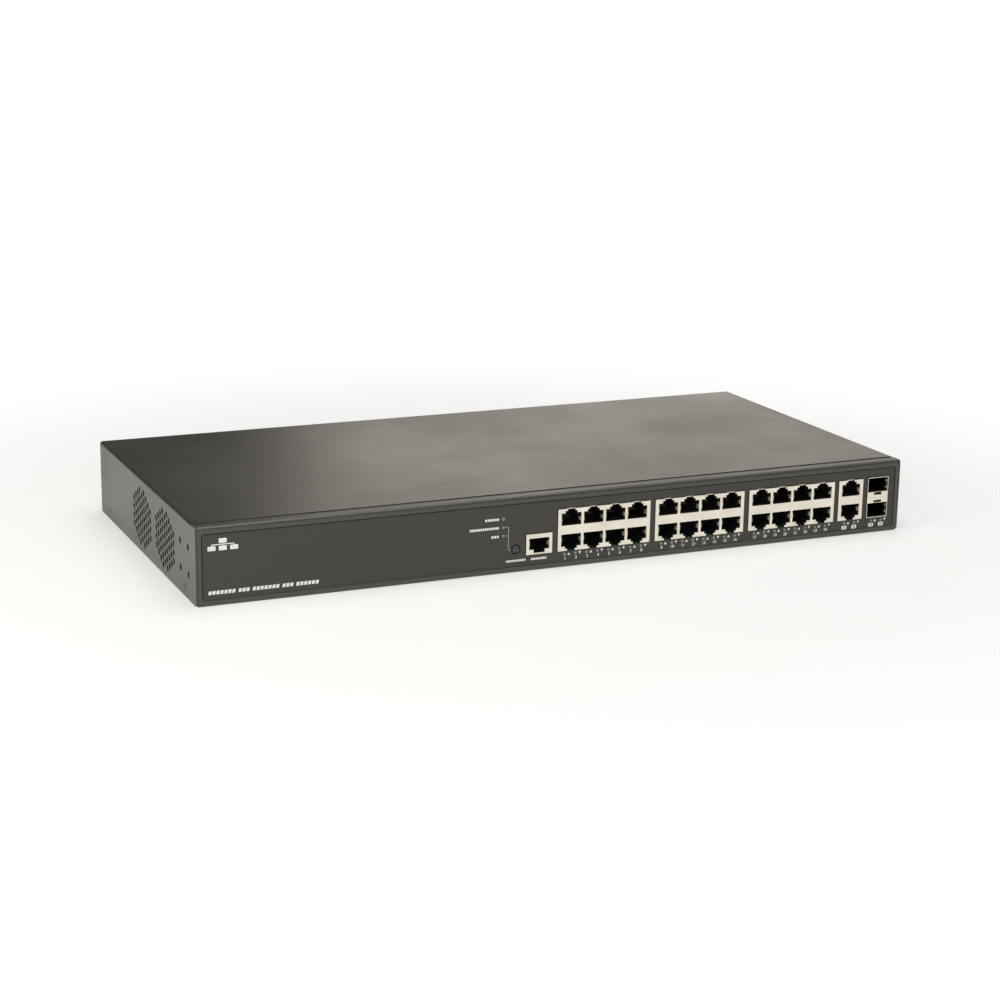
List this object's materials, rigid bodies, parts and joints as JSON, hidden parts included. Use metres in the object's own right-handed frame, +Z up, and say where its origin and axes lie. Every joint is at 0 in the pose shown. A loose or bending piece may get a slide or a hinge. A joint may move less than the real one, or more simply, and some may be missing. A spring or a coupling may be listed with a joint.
{
  "type": "rackmount network switch",
  "caption": "One-unit rackmount network switch: steel case, stacked modular jacks, module cages, mode button, side fans and built-in supply.",
  "frame": {"origin": "centre of the underside of the case", "axes": "+X to the right seen from the front, +Y from the front panel to the rear, +Z up"},
  "size_m": [0.44, 0.2136, 0.044],
  "materials": {
    "case_paint": "textured powder coat",
    "panel_paint": "fine satin powder coat",
    "overlay_film": "fine matt printed film",
    "nickel": "satin nickel plate",
    "zinc_steel": "zinc plate",
    "black_plastic": "matt moulded",
    "button_plastic": "satin moulded",
    "contact_gold": "gold flash",
    "main_laminate": "solder mask",
    "supply_laminate": "bare laminate",
    "clear_plastic": "clear moulded",
    "lamp_plastic": "pale moulded",
    "chip_epoxy": "moulded epoxy",
    "aluminium": "extruded",
    "ferrite": "sintered",
    "copper_wire": "enamelled",
    "capacitor_sleeve": "shrink sleeve",
    "yellow_film": "tape and potting",
    "insulator_film": "matt film",
    "brass_screw": "passivated",
    "wire_sheath": "matt"
  },
  "bodies": {
    "case": {"base_tray": "case_paint", "top_cover": "case_paint", "front_panel": "panel_paint", "front_overlay": "overlay_film", "cover_side_screws": "case_paint", "cover_rear_screws": "case_paint", "ear_clinch_nuts": "zinc_steel", "main_board": "main_laminate", "board_standoffs": "zinc_steel", "board_screws": "zinc_steel", "port_shield_1": "nickel", "port_shield_2": "nickel", "port_shield_3": "nickel", "jack_housings_1": "black_plastic", "jack_housings_2": "black_plastic", "jack_housings_3": "black_plastic", "jack_contacts": "contact_gold", "magnetics_modules": "chip_epoxy", "uplink_shield": "nickel", "uplink_housings": "black_plastic", "console_shield": "nickel", "console_housing": "black_plastic", "sfp_cage_upper": "nickel", "sfp_cage_lower": "nickel", "sfp_connectors": "black_plastic", "port_light_pipes": "clear_plastic", "status_light_guides": "clear_plastic", "indicator_leds": "lamp_plastic", "tact_switch": "black_plastic", "switch_chip": "chip_epoxy", "switch_heatsink": "aluminium", "phy_chips": "chip_epoxy", "phy_heatsinks": "aluminium", "memory_chips": "chip_epoxy", "poe_controllers": "chip_epoxy", "board_capacitors": "capacitor_sleeve", "board_inductors": "ferrite", "psu_board": "supply_laminate", "psu_insulator": "insulator_film", "bulk_capacitors": "capacitor_sleeve", "transformer_core": "ferrite", "transformer_winding": "yellow_film", "psu_heatsinks": "aluminium", "power_transistors": "chip_epoxy", "line_chokes": "copper_wire", "filter_capacitors": "yellow_film", "ac_inlet": "black_plastic", "inlet_pins": "nickel", "inlet_screws": "zinc_steel", "earth_screw": "brass_screw", "fan_bracket": "zinc_steel", "fan_1_frame": "black_plastic", "fan_2_frame": "black_plastic", "fan_stators": "copper_wire", "fan_screws": "zinc_steel", "inner_wiring": "wire_sheath"},
    "button": {"mode_button": "button_plastic"},
    "fan_1_wheel": {"fan_1_rotor": "black_plastic"},
    "fan_2_wheel": {"fan_2_rotor": "black_plastic"}
  },
  "joints": [
    {"name": "mode_button_press", "type": "slide", "parent": "case", "child": "button", "axis": [0, 1, 0], "range_m": [0, 0.0005], "stiffness_N_per_m": 1500, "springref_m": -0.0005},
    {"name": "fan_1_spin", "type": "hinge", "parent": "case", "child": "fan_1_wheel", "pos_m": [-0.2088, -0.0435, 0.0211], "axis": [1, 0, 0], "continuous": true},
    {"name": "fan_2_spin", "type": "hinge", "parent": "case", "child": "fan_2_wheel", "pos_m": [-0.2088, 0.0059, 0.0211], "axis": [1, 0, 0], "continuous": true}
  ]
}
